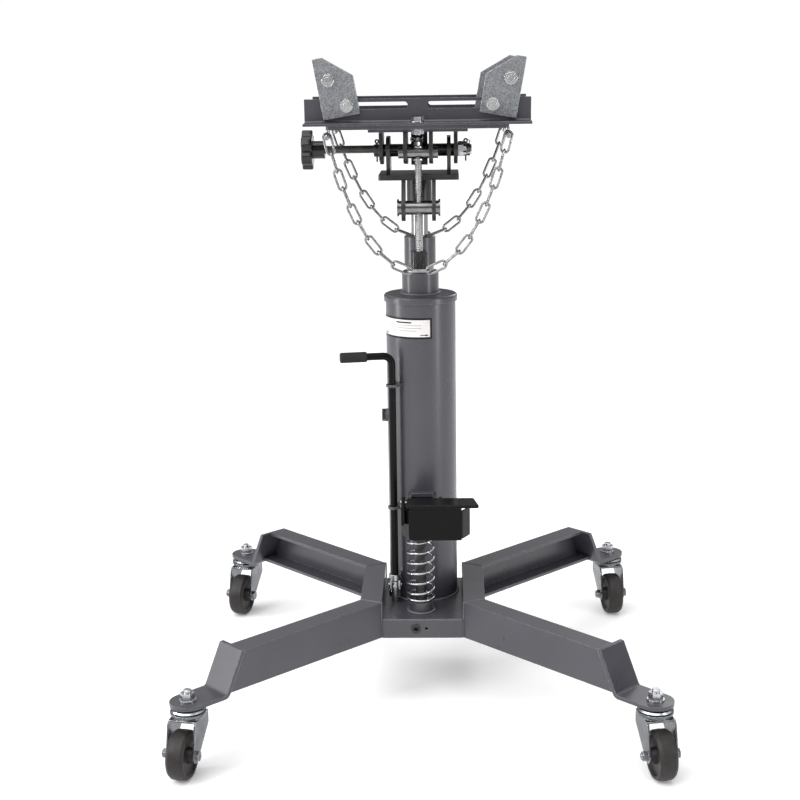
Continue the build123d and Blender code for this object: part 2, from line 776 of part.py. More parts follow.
def bracket_plates(key):
    outer = bracket_w - bracket_bolt_in
    low = -bracket_bolt_up
    corners = [(-bracket_bolt_in, low), (outer, low), (outer, low + bracket_h),
               (outer - bracket_top, low + bracket_h), (-bracket_bolt_in, low + bracket_inner_h)]
    outline = make_face(Polyline(*[bracket_point(key, a, b) for a, b in corners], close=True))
    outline = fillet(outline.vertices(), 1.5)
    y_side = -1 if key[0] == "f" else 1
    plates = []
    for y in (rail_web_y - bracket_t, rail_web_y + rail_t):
        y0, y1 = sorted((y_side * y, y_side * (y + bracket_t)))
        plate = front(outline, y0, y1)
        for x, z in bracket_bolt_points(key):
            plate -= rod_along_y(bracket_bolt_d + 0.5, y0 - 1, y1 + 1, x, z)
        plates.append(plate)
    return plates


def bracket_bolts(key):
    y_side = -1 if key[0] == "f" else 1
    low, high = bracket_bolt_points(key)
    y_in = rail_web_y - bracket_t
    y_out = rail_web_y + rail_t + bracket_t
    y_seat = y_out + bracket_washer_t
    parts = []
    for x, z in (low, high):
        ends = sorted((y_side * (y_in - 7), y_side * (y_seat + 9.5)))
        bolt = rod_along_y(bracket_bolt_d, *ends, x, z)
        head = sorted((y_side * y_in, y_side * (y_in - 7)))
        nut = sorted((y_side * y_seat, y_side * (y_seat + 7.5)))
        washer = sorted((y_side * y_out, y_side * y_seat))
        bolt += hex_along_y(bracket_bolt_af, *head, x, z) + hex_along_y(bracket_bolt_af, *nut, x, z)
        parts.append(bolt + rod_along_y(bracket_bolt_af + 4, *washer, x, z))
    gap = sorted((y_side * rail_web_y, y_side * (rail_web_y + rail_t)))
    spacer = rod_along_y(bracket_bolt_af + 2, *gap, *high) - rod_along_y(
        bracket_bolt_d, gap[0] - 1, gap[1] + 1, *high)
    return *parts, spacer


# ---------------------------------------------------------------------------
# chains
# ---------------------------------------------------------------------------
def chain_link():
    """Long link lying along X with its loop in the XY plane."""
    r = (chain_inner_w + chain_wire) / 2
    straight = chain_pitch + chain_gap - chain_inner_w
    path = Wire(SlotCenterToCenter(straight, 2 * r).wire().edges())
    section = Plane((0, r, 0), x_dir=(0, 0, 1), z_dir=(1, 0, 0)) * Circle(chain_wire / 2)
    return sweep(section, path=path)


def chain_joints(count):
    """Hanging chain of equal links between the two hooks: joint points and link angles."""
    shortened = hook_d / 2 + 2 * chain_gap
    lengths = [chain_pitch] * count
    lengths[0] = lengths[-1] = chain_pitch - shortened
    low, high = 0.0001, 10

    def span(slope):
        return sum(length * math.cos(math.atan((i - (count - 1) / 2) * slope))
                   for i, length in enumerate(lengths))
    for _ in range(80):
        slope = (low + high) / 2
        if span(slope) > 2 * hook_x:
            low = slope
        else:
            high = slope
    x, z = -hook_x, hook_z
    links = []
    for i, length in enumerate(lengths):
        a = math.atan((i - (count - 1) / 2) * slope)
        x1, z1 = x + length * math.cos(a), z + length * math.sin(a)
        if i == 0:
            middle = (x1 - chain_pitch / 2 * math.cos(a), z1 - chain_pitch / 2 * math.sin(a))
        else:
            middle = (x + chain_pitch / 2 * math.cos(a), z + chain_pitch / 2 * math.sin(a))
        links.append((*middle, math.degrees(a)))
        x, z = x1, z1
    return links


def chain(count, y):
    link = chain_link()
    links = []
    for i, (x, z, angle) in enumerate(chain_joints(count)):
        roll = 90 if i % 2 == 0 else 0
        links.append(Pos(x, y, z) * Rot(0, -angle, 0) * Rot(roll, 0, 0) * link)
    return links


# ---------------------------------------------------------------------------
# foot pump
# ---------------------------------------------------------------------------
def pump_barrel():
    barrel = rod_z(barrel_d, block_top_z, barrel_top_z, pump_x, pump_y)
    return barrel - rod_z(plunger_d + 2 * run_gap, block_top_z - 1, barrel_top_z + 1, pump_x, pump_y)


def pump_plunger():
    """Plunger with the spring cap the pedal presses on."""
    plunger = rod_z(plunger_d, plunger_foot_z, spring_top_z, pump_x, pump_y)
    cap = rod_z(spring_od, spring_top_z, spring_top_z + cap_plate_t, pump_x, pump_y)
    stem = rod_z(plunger_d, spring_top_z, pedal_pin_z - pusher_d / 2 - loose_gap, pump_x, pump_y)
    return plunger + cap + stem


def return_spring():
    height = spring_top_z - barrel_top_z - spring_wire - 2 * loose_gap
    path = Helix(height / spring_turns, height, (spring_od - spring_wire) / 2)
    start = path @ 0
    section = Plane(start, z_dir=path % 0) * Circle(spring_wire / 2)
    coil = sweep(section, path=path, is_frenet=True)
    z0 = barrel_top_z + spring_wire / 2 + loose_gap
    return Pos(pump_x, pump_y, z0) * coil


def pedal_bracket():
    ears = []
    column = rod_z(tube_d, pedal_pin_z - 60, pedal_pin_z + 60)
    root_y = -tube_d / 4
    outline = hull_outline((pedal_pin_y, pedal_pin_z, 10), (root_y, pedal_pin_z - 16, 2),
                           (root_y, pedal_pin_z + 14, 2))
    for x in (-ear_x, ear_x):
        ear = side(outline, x - ear_t / 2, x + ear_t / 2) - column
        ears.append(ear - rod_along_x(pedal_pin_d + 2 * run_gap, x - 9, x + 9, pedal_pin_y, pedal_pin_z))
    inside = ear_x - ear_t / 2
    roof = box(-inside, inside, pedal_pin_y + 4, root_y, pedal_pin_z + 10, pedal_pin_z + 16) - column
    return *ears, roof


def pedal_pin():
    half = arm_x + arm_t / 2 + 1
    pin = rod_along_x(pedal_pin_d, -half, half, pedal_pin_y, pedal_pin_z)
    for x in (-half - 2, half):
        pin += rod_along_x(pedal_pin_d + 6, x, x + 2, pedal_pin_y, pedal_pin_z)
    return pin


def pedal_lever():
    apron_z0 = tread_z - apron_h
    apron = box(apron_x0, apron_x1, apron_y, apron_y + apron_t, apron_z0, tread_z)
    front_y = apron_y + apron_t + 3
    arm_outline = hull_outline((pedal_pin_y, pedal_pin_z, 11), (front_y, tread_z - 4, 3),
                               (front_y, tread_z - 28, 3))
    body = apron
    for x in (-arm_x, arm_x):
        arm = side(arm_outline, x - arm_t / 2, x + arm_t / 2)
        body += arm - box(x - 9, x + 9, apron_y - 60, apron_y, apron_z0, tread_z)
    body += rod_along_x(pusher_d, -arm_x, arm_x, pump_y, pedal_pin_z)
    for x, turn in ((apron_x0, wing_angle), (apron_x1, 180 - wing_angle)):
        wing = Pos(wing_w / 2, 0, 0) * Box(wing_w, wing_t, apron_h - 8)
        body += Pos(x, apron_y + wing_t, (apron_z0 + tread_z) / 2 - 2) * Rot(0, 0, 180 - turn) * wing
    return body - rod_along_x(pedal_pin_d + 2 * run_gap, -60, 60, pedal_pin_y, pedal_pin_z)


def pedal_tread():
    tread_y1 = tread_y0 + tread_depth
    outline = [(tread_x0, tread_y0), (tread_x1, tread_y0), (tread_x1 - 8, tread_y1), (tread_x0, tread_y1)]
    tread = plan(outline, tread_z, tread_z + tread_t)
    tread = fillet(tread.edges().filter_by(Axis.Z), 4)
    return chamfer(tread.edges().group_by(Axis.Z)[-1], 1.2)


# ---------------------------------------------------------------------------
# release rod
# ---------------------------------------------------------------------------
def release_rod():
    turn = math.radians(rod_arm_turn)
    reach = rod_arm - grip_l + grip_hold
    far = (rod_x - reach * math.cos(turn), rod_y - reach * math.sin(turn), rod_arm_z)
    path = FilletPolyline((rod_x, rod_y, joint_z1), (rod_x, rod_y, rod_arm_z), far, radius=rod_bend_r)
    return sweep(Plane((rod_x, rod_y, joint_z1)) * Circle(rod_d / 2), path=path)


def release_grip():
    grip = Cylinder(grip_d / 2, grip_l)
    grip = fillet(grip.edges().filter_by(GeomType.CIRCLE), 3)
    grip = Rot(0, -90, 0) * Pos(0, 0, rod_arm - grip_l / 2) * grip
    grip = Pos(rod_x, rod_y, rod_arm_z) * Rot(0, 0, rod_arm_turn) * grip
    reach = rod_arm - grip_l + grip_hold
    core = Rot(0, -90, 0) * Pos(0, 0, reach / 2) * Cylinder(rod_d / 2, reach)
    return grip - Pos(rod_x, rod_y, rod_arm_z) * Rot(0, 0, rod_arm_turn) * core


def universal_joint():
    middle = (joint_z0 + joint_z1) / 2
    half = joint_w / 2
    upper = rod_z(joint_w, middle + 9, joint_z1, rod_x, rod_y)
    lower = rod_z(joint_w, joint_z0, middle - 9, rod_x, rod_y)
    blank = rod_z(joint_w, joint_z0, joint_z1, rod_x, rod_y)
    slot = joint_slot / 2
    prong = slot - 0.2
    cube = joint_slot - 0.6
    for a, b in ((-half, -slot), (slot, half)):
        upper += blank & box(rod_x + a, rod_x + b, rod_y - prong, rod_y + prong, middle - 7, middle + 10)
        lower += blank & box(rod_x - prong, rod_x + prong, rod_y + a, rod_y + b, middle - 10, middle + 7)
    cross = Pos(rod_x, rod_y, middle) * Box(cube, cube, cube)
    cross += rod_along_x(joint_pin_d, rod_x - half - 1, rod_x + half + 1, rod_y, middle)
    cross += rod_along_y(joint_pin_d, rod_y - half - 1, rod_y + half + 1, rod_x, middle)
    upper -= rod_along_x(joint_pin_d + 2 * run_gap, rod_x - joint_w, rod_x + joint_w, rod_y, middle)
    lower -= rod_along_y(joint_pin_d + 2 * run_gap, rod_y - joint_w, rod_y + joint_w, rod_x, middle)
    lower += rod_z(spindle_d, block_top_z - spindle_dip, joint_z0, rod_x, rod_y)
    return upper, lower, cross


def rod_guides():
    column = rod_z(tube_d, min(guide_z) - 20, max(guide_z) + 40)
    root = tube_d / 2 - 10
    root_x, root_y = -root * math.sin(rod_bearing), -root * math.cos(rod_bearing)
    guides = []
    for z in guide_z:
        outline = hull_outline((rod_x, rod_y, rod_d / 2 + 4), (root_x, root_y, 8))
        tongue = Pos(0, 0, z) * extrude(outline, guide_t)
        tongue -= rod_z(rod_d + 2 * guide_slack, z - 1, z + guide_t + 1, rod_x, rod_y)
        guides.append(tongue - column)
    return guides


def build():
    os.makedirs("parts", exist_ok=True)
    right = [middle_channel(), leg_channel(), mirror_legs(leg_channel())]
    plate = end_plate()
    plates = [plate, mirror_x(plate), mirror_legs(plate), mirror_x(mirror_legs(plate))]
    write("base_block", base_block())
    write("leg_channels_right", *right)
    write("leg_channels_left", *[mirror_x(s) for s in right])
    write("leg_end_plates", *plates)
    write("reservoir_tube", reservoir_tube())
    write("reservoir_cap", reservoir_cap())
    write("cylinder_tube", cylinder_tube())
    write("gland_neck", gland_neck())
    write("oil_plugs", *oil_plugs())
    write("caster_upper_races", *[Pos(x, y, 0) * upper_race() for x, y in bolt_at.values()])
    write("caster_stem_bolts", *[Pos(x, y, 0) * stem_bolt() for x, y in bolt_at.values()],
          *[Pos(x, y, 0) * stem_nut() for x, y in bolt_at.values()])
    for key in bolt_at:
        write(f"caster_fork_{key}", place_caster(key, caster_fork()), place_caster(key, caster_axle()))
        write(f"caster_wheel_{key}", place_caster(key, caster_wheel()))
    write("stage_1_tube", stage_1_tube())
    write("stage_1_piston", stage_1_piston())
    write("stage_1_collar", stage_1_collar())
    write("lift_ram", lift_ram())
    write("ram_piston", ram_piston())
    write("head_socket", head_socket())
    write("head_plates", *head_plates())
    write("lower_trunnion", lower_trunnion())
    write("pivot_shaft", *pivot_shaft())
    write("saddle_plates", *saddle_plates())
    write("saddle_lugs", *saddle_lugs())
    write("saddle_rails", saddle_rail(1), saddle_rail(-1))
    write("rail_bolts", rail_bolt(-rail_bolt_y), rail_bolt(rail_bolt_y))
    write("chain_hooks", *[chain_hook(a, b) for a in (-1, 1) for b in (-1, 1)])
    write("upper_trunnion", upper_trunnion())
    write("tilt_screw", *tilt_screw())
    write("tilt_knob", tilt_knob())
    write("lock_screw", *lock_screw())
    write("lock_knob", lock_knob())
    write("lock_nut", lock_nut())
    for key in bracket_rest_x:
        write(f"bracket_{key}", *bracket_plates(key))
        write(f"bracket_bolts_{key}", *bracket_bolts(key))
    write("chain_front", *chain(chain_links["front"], -chain_y))
    write("chain_rear", *chain(chain_links["rear"], chain_y))
    write("pump_barrel", pump_barrel())
    write("pump_plunger", pump_plunger())
    write("return_spring", return_spring())
    write("pedal_bracket", *pedal_bracket())
    write("pedal_pin", pedal_pin())
    write("pedal_lever", pedal_lever())
    write("pedal_tread", pedal_tread())
    write("release_rod", release_rod())
    write("release_grip", release_grip())
    write("universal_joint", *universal_joint())
    write("rod_guides", *rod_guides())


build()
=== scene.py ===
import json
import math

import bpy
from mathutils import Matrix, Vector, noise

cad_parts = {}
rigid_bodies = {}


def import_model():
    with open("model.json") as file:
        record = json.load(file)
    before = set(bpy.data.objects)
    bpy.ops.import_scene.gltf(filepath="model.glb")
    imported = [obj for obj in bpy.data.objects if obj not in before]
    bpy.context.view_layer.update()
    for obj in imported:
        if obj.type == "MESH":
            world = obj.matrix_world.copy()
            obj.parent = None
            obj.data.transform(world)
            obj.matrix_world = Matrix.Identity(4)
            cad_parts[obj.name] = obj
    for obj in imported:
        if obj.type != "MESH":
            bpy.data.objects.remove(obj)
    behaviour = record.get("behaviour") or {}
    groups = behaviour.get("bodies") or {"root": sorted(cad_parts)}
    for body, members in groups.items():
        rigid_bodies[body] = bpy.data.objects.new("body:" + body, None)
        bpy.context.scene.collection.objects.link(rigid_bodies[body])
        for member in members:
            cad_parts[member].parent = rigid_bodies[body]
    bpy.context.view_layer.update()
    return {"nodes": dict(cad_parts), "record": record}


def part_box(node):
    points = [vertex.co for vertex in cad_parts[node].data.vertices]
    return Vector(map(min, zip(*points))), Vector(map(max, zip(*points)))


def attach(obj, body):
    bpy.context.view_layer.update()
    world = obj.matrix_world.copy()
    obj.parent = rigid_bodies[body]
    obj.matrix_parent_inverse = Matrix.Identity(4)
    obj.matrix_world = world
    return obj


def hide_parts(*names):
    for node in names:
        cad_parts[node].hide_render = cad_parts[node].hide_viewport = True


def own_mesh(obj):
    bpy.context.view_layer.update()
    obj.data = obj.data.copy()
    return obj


# Telescopic transmission jack, in metres. +Z is up and the pedal side is -Y.
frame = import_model()
nodes = frame["nodes"]


# material building blocks
def addNode(tree, kind, **settings):
    node = tree.nodes.new(kind)
    for name, value in settings.items():
        setattr(node, name, value)
    return node


def feed(tree, socket, value):
    if isinstance(value, bpy.types.NodeSocket):
        tree.links.new(value, socket)
    else:
        socket.default_value = value


def calculate(tree, operation, first, second=0.0):
    node = addNode(tree, "ShaderNodeMath", operation=operation)
    feed(tree, node.inputs[0], first)
    feed(tree, node.inputs[1], second)
    return node.outputs[0]


def spread(tree, value, fromLow, fromHigh, toLow=0.0, toHigh=1.0):
    node = addNode(tree, "ShaderNodeMapRange", clamp=True)
    for name, setting in (("Value", value), ("From Min", fromLow), ("From Max", fromHigh),
                          ("To Min", toLow), ("To Max", toHigh)):
        feed(tree, node.inputs[name], setting)
    return node.outputs["Result"]


def blendColour(tree, factor, first, second):
    node = addNode(tree, "ShaderNodeMix", data_type="RGBA")
    feed(tree, node.inputs[0], factor)
    feed(tree, node.inputs[6], first)
    feed(tree, node.inputs[7], second)
    return node.outputs[2]


def clouds(tree, coords, scale, detail=3.0, stretch=None):
    if stretch:
        mapping = addNode(tree, "ShaderNodeMapping")
        tree.links.new(coords, mapping.inputs["Vector"])
        mapping.inputs["Scale"].default_value = stretch
        coords = mapping.outputs["Vector"]
    node = addNode(tree, "ShaderNodeTexNoise")
    tree.links.new(coords, node.inputs["Vector"])
    node.inputs["Scale"].default_value = scale
    node.inputs["Detail"].default_value = detail
    return node.outputs["Fac"]


def rgba(colour):
    return (*colour, 1.0)


def surface(name, look):
    material = bpy.data.materials.new(name)
    material.use_nodes = True
    tree = material.node_tree
    shader = tree.nodes["Principled BSDF"]
    coords = addNode(tree, "ShaderNodeTexCoord").outputs["Object"]
    cloud = clouds(tree, coords, look.get("cloudScale", 22), 4.0)
    grain = clouds(tree, coords, look.get("grainScale", 900), 2.0)
    colour = blendColour(tree, spread(tree, cloud, 0.22, 0.78),
                         rgba(look["colour"]), rgba(look["second"]))
    rough = spread(tree, cloud, 0.2, 0.8, look["rough"][0], look["rough"][1])
    height = grain
    if "flake" in look:  # spangle of the zinc bath
        flakes = addNode(tree, "ShaderNodeTexVoronoi")
        tree.links.new(coords, flakes.inputs["Vector"])
        flakes.inputs["Scale"].default_value = look["flakeScale"]
        shade = addNode(tree, "ShaderNodeSeparateColor")
        tree.links.new(flakes.outputs["Color"], shade.inputs[0])
        colour = blendColour(tree, spread(tree, shade.outputs[0], 0.1, 0.9, 0.0, look["flake"]),
                             colour, rgba(look["flakeColour"]))
        height = calculate(tree, "ADD", height, calculate(tree, "MULTIPLY", shade.outputs[1], 0.6))
        rough = calculate(tree, "ADD", rough, spread(tree, shade.outputs[1], 0.0, 1.0, -0.07, 0.1))
    if "scratch" in look:  # turning marks
        lines = clouds(tree, coords, 1.0, 1.0, look.get("scratchStretch", (30, 420, 420)))
        mark = spread(tree, lines, 0.64, 0.7, 0.0, look["scratch"])
        colour = blendColour(tree, mark, colour, rgba(look["wearColour"]))
        rough = calculate(tree, "SUBTRACT", rough, calculate(tree, "MULTIPLY", mark, 0.1))
    # rounded edges, rubbed bright where the look says so
    bevel = addNode(tree, "ShaderNodeBevel", samples=4)
    bevel.inputs["Radius"].default_value = look.get("edge", 0.0012)
    if "wear" in look:
        normal = addNode(tree, "ShaderNodeNewGeometry").outputs["Normal"]
        dot = addNode(tree, "ShaderNodeVectorMath", operation="DOT_PRODUCT")
        tree.links.new(bevel.outputs[0], dot.inputs[0])
        tree.links.new(normal, dot.inputs[1])
        rim = spread(tree, dot.outputs["Value"], 0.985, 0.86)
        patchy = spread(tree, clouds(tree, coords, 160, 3.0), 0.4, 0.6, 0.25, 1.0)
        rim = calculate(tree, "MULTIPLY", calculate(tree, "MULTIPLY", rim, patchy), look["wear"])
        colour = blendColour(tree, rim, colour, rgba(look["wearColour"]))
    bump = addNode(tree, "ShaderNodeBump")
    bump.inputs["Strength"].default_value = look.get("bump", 0.15)
    bump.inputs["Distance"].default_value = 0.0005
    tree.links.new(height, bump.inputs["Height"])
    tree.links.new(bevel.outputs[0], bump.inputs["Normal"])
    tree.links.new(bump.outputs[0], shader.inputs["Normal"])
    feed(tree, shader.inputs["Base Color"], colour)
    feed(tree, shader.inputs["Roughness"], rough)
    shader.inputs["Metallic"].default_value = look.get("metal", 0.0)
    shader.inputs["Specular IOR Level"].default_value = look.get("shine", 0.5)
    return material


# finishes: one look per slot of the record, and a few of their own
looks = {
    "grey_paint": dict(colour=(0.043, 0.042, 0.052), second=(0.055, 0.053, 0.065), cloudScale=14,
                       rough=(0.24, 0.36), grainScale=1100, bump=0.08, wear=0.85, edge=0.0011,
                       wearColour=(0.36, 0.36, 0.39), shine=0.6),
    "black_enamel": dict(colour=(0.004, 0.004, 0.0045), second=(0.007, 0.0065, 0.0065),
                         rough=(0.14, 0.28), grainScale=1300, bump=0.06, wear=0.5, edge=0.0009,
                         wearColour=(0.12, 0.115, 0.11), shine=0.1),
    "zinc": dict(colour=(0.55, 0.56, 0.58), second=(0.36, 0.37, 0.39), metal=1.0, cloudScale=55,
                 rough=(0.14, 0.3), grainScale=1500, bump=0.14, wear=0.7, edge=0.0006,
                 wearColour=(0.92, 0.92, 0.92)),
    "galvanised": dict(colour=(0.4, 0.41, 0.43), second=(0.26, 0.27, 0.29), metal=0.7, cloudScale=150,
                       rough=(0.36, 0.52), grainScale=800, bump=0.4, flake=0.85, flakeScale=1000,
                       flakeColour=(0.1, 0.105, 0.115), wear=1.0, edge=0.0009,
                       wearColour=(0.95, 0.95, 0.95)),
    "dark_steel": dict(colour=(0.03, 0.029, 0.03), second=(0.05, 0.047, 0.046), metal=0.5,
                       cloudScale=50, rough=(0.28, 0.45), grainScale=1000, bump=0.16, wear=0.6,
                       edge=0.0008, wearColour=(0.36, 0.35, 0.34), shine=0.4),
    "chrome": dict(colour=(0.7, 0.71, 0.72), second=(0.6, 0.61, 0.63), metal=1.0, cloudScale=40,
                   rough=(0.05, 0.12), grainScale=2000, bump=0.02, edge=0.0005),
    "ground_steel": dict(colour=(0.26, 0.26, 0.26), second=(0.15, 0.15, 0.15), metal=1.0, cloudScale=70,
                         rough=(0.18, 0.34), grainScale=1500, bump=0.08, scratch=0.3,
                         scratchStretch=(60, 60, 1500), wear=0.4, edge=0.0005,
                         wearColour=(0.8, 0.8, 0.8)),
    "wheel_plastic": dict(colour=(0.007, 0.006, 0.006), second=(0.026, 0.021, 0.02), cloudScale=80,
                          rough=(0.4, 0.6), grainScale=600, bump=0.3, wear=0.5, edge=0.0015,
                          wearColour=(0.09, 0.08, 0.075), shine=0.35),
    "knob_plastic": dict(colour=(0.006, 0.006, 0.007), second=(0.01, 0.01, 0.01), rough=(0.12, 0.24),
                         grainScale=900, bump=0.05, edge=0.0012, shine=0.45),
    "grip_rubber": dict(colour=(0.008, 0.008, 0.009), second=(0.014, 0.014, 0.015), rough=(0.5, 0.68),
                        grainScale=1400, bump=0.3, edge=0.001, shine=0.3),
    "fork_zinc": dict(colour=(0.18, 0.19, 0.205), second=(0.09, 0.095, 0.105), metal=0.95, cloudScale=40,
                      rough=(0.2, 0.34), grainScale=1500, bump=0.14, wear=1.0, edge=0.0008,
                      wearColour=(0.95, 0.95, 0.95)),
    "chain_zinc": dict(colour=(0.4, 0.4, 0.41), second=(0.2, 0.2, 0.205), metal=1.0, cloudScale=120,
                       rough=(0.12, 0.24), grainScale=1500, bump=0.12, edge=0.0003),
    # bracket nuts: zinc made lighter, a painted highlight standing for the bright rims that light gives them
    "nut_zinc_highlit": dict(colour=(0.8, 0.8, 0.81), second=(0.6, 0.6, 0.61), metal=1.0, cloudScale=90,
                     rough=(0.1, 0.2), grainScale=1500, bump=0.1, wear=1.0, edge=0.0006,
                     wearColour=(0.97, 0.97, 0.97)),
    # lift rods: chrome made dark, painted shade for the rods that sit between the trunnion and the collar
    "rod_chrome_shaded": dict(colour=(0.26, 0.26, 0.265), second=(0.18, 0.18, 0.185), metal=1.0, cloudScale=40,
                       rough=(0.08, 0.18), grainScale=2000, bump=0.03, edge=0.0005),
    "thread_steel": dict(colour=(0.16, 0.155, 0.145), second=(0.08, 0.077, 0.07), metal=0.95, cloudScale=50,
                         rough=(0.25, 0.42), grainScale=1500, bump=0.1, edge=0.0001),
    "thread_bright": dict(colour=(0.5, 0.5, 0.51), second=(0.36, 0.36, 0.36), metal=0.95,
                          cloudScale=60, rough=(0.22, 0.38), grainScale=1500, bump=0.1, edge=0.0001),
    # weld beads: the same grey paint made lighter, a painted highlight where light catches the rounded beads
    "weld_bead": dict(colour=(0.085, 0.083, 0.097), second=(0.13, 0.127, 0.142), cloudScale=220,
                      rough=(0.25, 0.45), grainScale=900, bump=0.3, edge=0.0004, shine=0.5),
}
materials = {name: surface(name, look) for name, look in looks.items()}
print("materials built:", len(materials))

# nodes whose finish differs a little from the rest of their slot; the lift rods' darkened chrome is painted
# shade and the bracket nuts' lighter zinc is a painted highlight
ownLook = {"lower_trunnion": "ground_steel", "upper_trunnion": "ground_steel", "pump_plunger": "dark_steel",
           "tilt_knob": "knob_plastic", "lift_ram": "rod_chrome_shaded", "stage_1_tube": "rod_chrome_shaded",
           "chain_front": "chain_zinc", "chain_rear": "chain_zinc"}
for corner in ("fl", "fr", "rl", "rr"):
    ownLook["caster_fork_" + corner] = "fork_zinc"
    # the bracket nuts get the lighter zinc, a painted highlight
    ownLook["bracket_bolts_" + corner] = "nut_zinc_highlit"
slotOfNode = {}
for part in frame["record"]["subparts"]:
    slotOfNode[part["node"]] = part["material_slot"]
for name, node in nodes.items():
    for each in [node, *node.children_recursive]:
        for slot in each.material_slots:
            slot.material = materials[ownLook.get(name, slotOfNode[name])]


# mesh building blocks
def meshObject(name, points, faces, slotName, body, smooth=True, looksList=None, faceLooks=None):
    mesh = bpy.data.meshes.new(name)
    mesh.from_pydata([tuple(p) for p in points], [], faces)
    mesh.update()
    piece = bpy.data.objects.new(name, mesh)
    bpy.context.collection.objects.link(piece)
    for look in looksList or [slotName]:
        mesh.materials.append(materials[look])
    for i, polygon in enumerate(mesh.polygons):
        polygon.use_smooth = smooth
        if faceLooks:
            polygon.material_index = faceLooks[i]
    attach(piece, body)
    return piece


def gridFaces(rows, columns, closed, first=0):
    faces = []
    for i in range(rows - 1):
        for j in range(columns if closed else columns - 1):
            k = (j + 1) % columns
            faces.append((first + i * columns + j, first + i * columns + k,
                          first + (i + 1) * columns + k, first + (i + 1) * columns + j))
    return faces


# points and faces of a round tube along a path
def tube(path, radius, closed=False, sides=10, ripple=0.0):
    count = len(path)
    points = []
    side = None
    for i, here in enumerate(path):
        before = path[(i - 1) % count] if closed else path[max(i - 1, 0)]
        after = path[(i + 1) % count] if closed else path[min(i + 1, count - 1)]
        along = (after - before).normalized()
        if side is None:
            side = along.orthogonal().normalized()
        side = (side - along * side.dot(along)).normalized()
        up = along.cross(side)
        for j in range(sides):
            a = 2 * math.pi * j / sides
            swell = 1 + ripple * math.sin(i * 2.1 + 1.4 * math.cos(a))
            points.append(here + (side * math.cos(a) + up * math.sin(a)) * radius * swell)
    faces = gridFaces(count, sides, True)
    if closed:
        faces += [((count - 1) * sides + j, (count - 1) * sides + (j + 1) % sides,
                   (j + 1) % sides, j) for j in range(sides)]
    else:
        faces.append(tuple(reversed(range(sides))))
        faces.append(tuple(range((count - 1) * sides, count * sides)))
    return points, faces


def joined(*shapes):
    points, faces = [], []
    for morePoints, moreFaces in shapes:
        start = len(points)
        points += morePoints
        faces += [tuple(i + start for i in face) for face in moreFaces]
    return points, faces


# points along a broken line, about a step apart
def spanned(corners, step):
    corners = [Vector(c) for c in corners]
    line = []
    for a, b in zip(corners, corners[1:]):
        parts = max(1, round((b - a).length / step))
        line += [a.lerp(b, i / parts) for i in range(parts)]
    return line + [corners[-1]]


# lathe of (radius, height) points round an axis given as a matrix
def turned(profile, axis, sides=32):
    points = []
    for r, h in profile:
        for j in range(sides):
            a = 2 * math.pi * j / sides
            points.append(axis @ Vector((r * math.cos(a), r * math.sin(a), h)))
    return points, gridFaces(len(profile), sides, True)


# rod with a cut thread and chamfered ends
def threadedRod(axis, z0, z1, radius, pitch, depth):
    sides = 24
    rows = int((z1 - z0) / pitch * 6)
    points = []
    for i in range(rows + 1):
        z = z0 + (z1 - z0) * i / rows
        taper = min(1.0, (min(z - z0, z1 - z) + 0.0003) / 0.0012)
        for j in range(sides):
            a = 2 * math.pi * j / sides
            phase = (z / pitch - j / sides) % 1.0
            cut = min(1.0, abs(phase - 0.5) * 2.6)
            r = (radius - depth * (1 - cut)) * (0.8 + 0.2 * taper)
            points.append(axis @ Vector((r * math.cos(a), r * math.sin(a), z)))
    faces = gridFaces(rows + 1, sides, True)
    faces.append(tuple(reversed(range(sides))))
    faces.append(tuple(range(rows * sides, (rows + 1) * sides)))
    return points, faces


# hexagon nut with turned-off corners
def hexNut(axis, z0, z1, acrossFlats, bore):
    corner = acrossFlats / math.sqrt(3)
    flat = acrossFlats / 2
    points, sides = [], 48
    rows = [(bore, z0), (flat * 0.96, z0), (corner, z0 + 0.0012), (corner, z1 - 0.0012),
            (flat * 0.96, z1), (bore, z1)]
    for rowRadius, h in rows:
        for j in range(sides):
            a = 2 * math.pi * j / sides
            reach = flat / math.cos((a + math.pi / 6) % (math.pi / 3) - math.pi / 6)
            r = min(rowRadius, reach)
            points.append(axis @ Vector((r * math.cos(a), r * math.sin(a), h)))
    return points, gridFaces(len(rows), sides, True)


# matrix whose Z axis points along +X or +Z from a point
def placed(x, y, z, towards="Z"):
    turn = Matrix.Rotation(math.pi / 2, 4, "Y") if towards == "X" else Matrix.Identity(4)
    return Matrix.Translation((x, y, z)) @ turn


# tilt screw: coarse thread, flanges, nut and split pin
tiltScrew = dict(radius=0.006, pitch=0.003, depth=0.0015, flange=0.010, nut=0.014)
low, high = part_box("tilt_screw")
upLow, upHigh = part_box("upper_trunnion")
midX, midY = (low[0] + high[0]) / 2, (low[1] + high[1]) / 2
screwRadius = tiltScrew["radius"]
axis = placed(midX, midY, 0)
seat = (upLow[2] + upHigh[2]) / 2 + 0.0075
shank = threadedRod(axis, low[2], high[2], screwRadius, tiltScrew["pitch"], tiltScrew["depth"])
screw = meshObject("tilt_screw_thread", *shank, "thread_bright", "tilt_screw_set")
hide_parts("tilt_screw")
flange = tiltScrew["flange"]
boreRadius = screwRadius * 0.9
chamfer = 0.0005
discs = []
for a, b in ((seat + 0.0001, seat + 0.0026), (seat - 0.0195, seat - 0.0167)):
    discs.append(turned([(boreRadius, a), (flange - chamfer, a), (flange, a + chamfer),
                         (flange, b - chamfer), (flange - chamfer, b), (boreRadius, b)], axis))
nut = hexNut(axis, seat + 0.0026, seat + 0.010, tiltScrew["nut"], boreRadius)
washers = meshObject("tilt_screw_flanges", *joined(*discs), "zinc", "tilt_screw_set", smooth=False)
topNut = meshObject("tilt_screw_nut", *nut, "zinc", "tilt_screw_set", smooth=False)


pinStyle = dict(wire=0.0008, eye=0.0026, neck=0.0028, opening=0.6, splay=0.0045)


